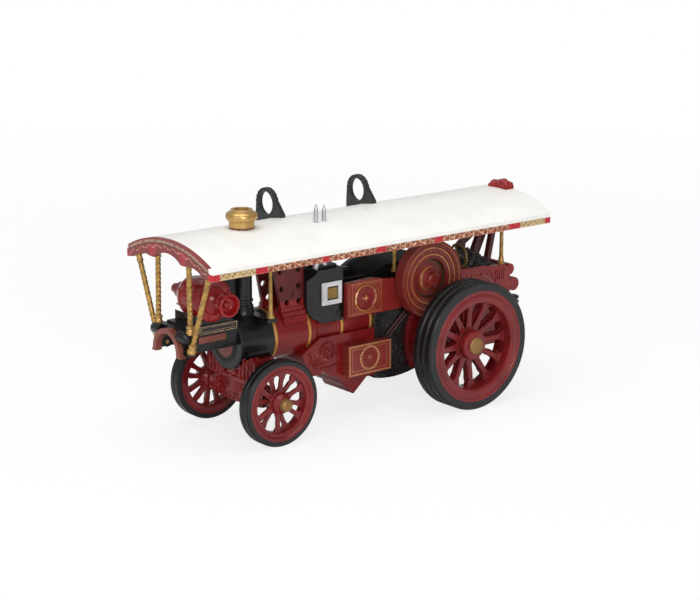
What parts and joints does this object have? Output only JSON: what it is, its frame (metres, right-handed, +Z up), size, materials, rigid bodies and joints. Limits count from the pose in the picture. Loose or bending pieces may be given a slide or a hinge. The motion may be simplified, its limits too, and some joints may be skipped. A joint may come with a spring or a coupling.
{
  "type": "toy steam traction engine",
  "caption": "Small die-cast showman's road engine with a full-length roof, dynamo on a front platform, flywheel and free-rolling spoked wheels; a display toy.",
  "frame": {"origin": "on the ground plane under the middle of the roof", "axes": "+X forward towards the smokebox and dynamo, +Y to the engine's left, the flywheel side, +Z up"},
  "size_m": [0.0922, 0.0386, 0.0485],
  "materials": {
    "black_enamel": "satin",
    "brass_paint": "satin",
    "coal_black": "matt",
    "copper_paint": "satin",
    "red_enamel": "glossy",
    "roof_white": "satin",
    "steel_pin": "bright",
    "tyre_black": "matt",
    "wheel_red": "glossy",
    "white_paint": "satin"
  },
  "bodies": {
    "engine": {"ash_pan": "red_enamel", "belly_tank": "red_enamel", "boiler_bands": "brass_paint", "boiler_barrel": "red_enamel", "chimney": "black_enamel", "chimney_cap": "brass_paint", "coal": "coal_black", "crankshaft": "steel_pin", "cylinder_block": "black_enamel", "drawbar": "black_enamel", "dynamo": "red_enamel", "dynamo_platform": "black_enamel", "dynamo_pulley": "red_enamel", "firebox": "black_enamel", "flywheel": "red_enamel", "front_pillars": "brass_paint", "hornplate_left": "red_enamel", "hornplate_right": "red_enamel", "hose_coil": "black_enamel", "motion_panel_left": "red_enamel", "motion_panel_right": "red_enamel", "motion_works": "black_enamel", "perch_bracket": "red_enamel", "platform_arch": "copper_paint", "platform_panels": "copper_paint", "rear_rolls": "red_enamel", "rear_stays": "red_enamel", "roof_block": "red_enamel", "roof_canopy": "roof_white", "roof_end_boards": "red_enamel", "roof_fascias": "red_enamel", "safety_pipes": "steel_pin", "side_box_left": "red_enamel", "side_box_right": "red_enamel", "side_pillars": "brass_paint", "side_rods": "black_enamel", "smokebox": "black_enamel", "smokebox_door": "copper_paint", "stay_plate_left": "red_enamel", "stay_plate_right": "red_enamel", "steering_wheel": "brass_paint", "tender": "red_enamel", "tube_ring_front": "black_enamel", "tube_ring_rear": "black_enamel", "valve_frame": "white_paint", "valve_plate": "brass_paint"},
    "front_carrier": {"axle_carrier": "red_enamel"},
    "front_wheelset": {"front_axle": "steel_pin", "front_hub_caps": "brass_paint", "front_tyre_left": "tyre_black", "front_tyre_right": "tyre_black", "front_wheel_left": "wheel_red", "front_wheel_right": "wheel_red"},
    "rear_wheelset": {"rear_axle": "steel_pin", "rear_hub_caps": "brass_paint", "rear_tyre_left": "tyre_black", "rear_tyre_right": "tyre_black", "rear_wheel_left": "wheel_red", "rear_wheel_right": "wheel_red"}
  },
  "joints": [
    {"name": "front_axle_swivel", "type": "hinge", "parent": "engine", "child": "front_carrier", "pos_m": [0.0272, 0, 0.0125], "axis": [0, 0, 1], "range_deg": [-18, 18]},
    {"name": "front_wheels_roll", "type": "hinge", "parent": "front_carrier", "child": "front_wheelset", "pos_m": [0.0272, 0, 0.009], "axis": [0, 1, 0], "continuous": true},
    {"name": "rear_wheels_roll", "type": "hinge", "parent": "engine", "child": "rear_wheelset", "pos_m": [-0.0211, 0, 0.014], "axis": [0, 1, 0], "continuous": true}
  ]
}
